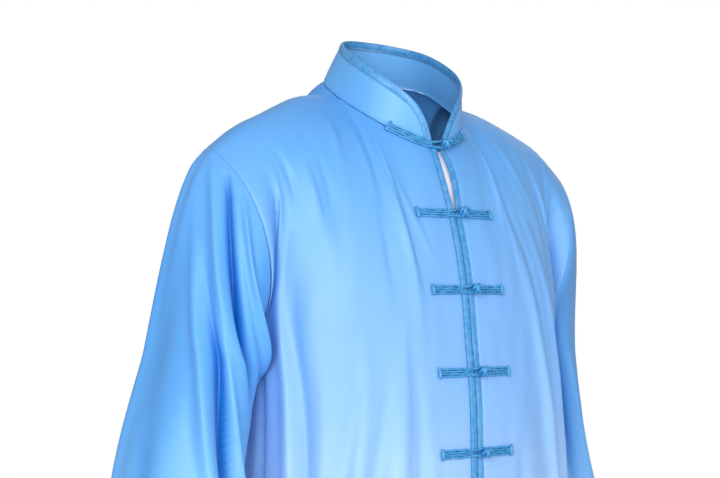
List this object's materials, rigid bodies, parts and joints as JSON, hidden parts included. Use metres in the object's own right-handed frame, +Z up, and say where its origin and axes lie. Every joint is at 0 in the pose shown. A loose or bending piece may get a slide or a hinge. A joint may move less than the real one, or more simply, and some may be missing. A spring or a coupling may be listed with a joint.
{
  "type": "tai chi uniform",
  "caption": "Tai chi uniform: a long-sleeved stand-collar jacket with knotted frog fastenings over plain wide trousers, held hollow as worn.",
  "frame": {"origin": "midway between the two points where the shoulder seams meet the collar, where the wearer carries the jacket", "axes": "+Z up, -Y towards the front of the jacket, +X towards the wearer's left"},
  "size_m": [0.7477, 0.2943, 1.4728],
  "materials": {
    "blue_silk": "satin",
    "pale_silk": "satin",
    "pale_cotton": "matt",
    "satin_binding": "satin",
    "satin_cord": "satin"
  },
  "bodies": {
    "root": {"front_right": "blue_silk", "front_left": "blue_silk", "back": "blue_silk", "sleeve_right": "blue_silk", "sleeve_left": "blue_silk", "collar": "blue_silk", "binding_collar": "satin_binding", "binding_right": "satin_binding", "binding_left": "satin_binding", "underlap": "pale_cotton", "frog_1_loop": "satin_cord", "frog_1_knot": "satin_cord", "frog_2_loop": "satin_cord", "frog_2_knot": "satin_cord", "frog_3_loop": "satin_cord", "frog_3_knot": "satin_cord", "frog_4_loop": "satin_cord", "frog_4_knot": "satin_cord", "frog_5_loop": "satin_cord", "frog_5_knot": "satin_cord", "frog_6_loop": "satin_cord", "frog_6_knot": "satin_cord", "frog_7_loop": "satin_cord", "frog_7_knot": "satin_cord", "trouser_right_front": "pale_silk", "trouser_right_back": "pale_silk", "trouser_left_front": "pale_silk", "trouser_left_back": "pale_silk", "waistband": "pale_silk"}
  },
  "joints": []
}
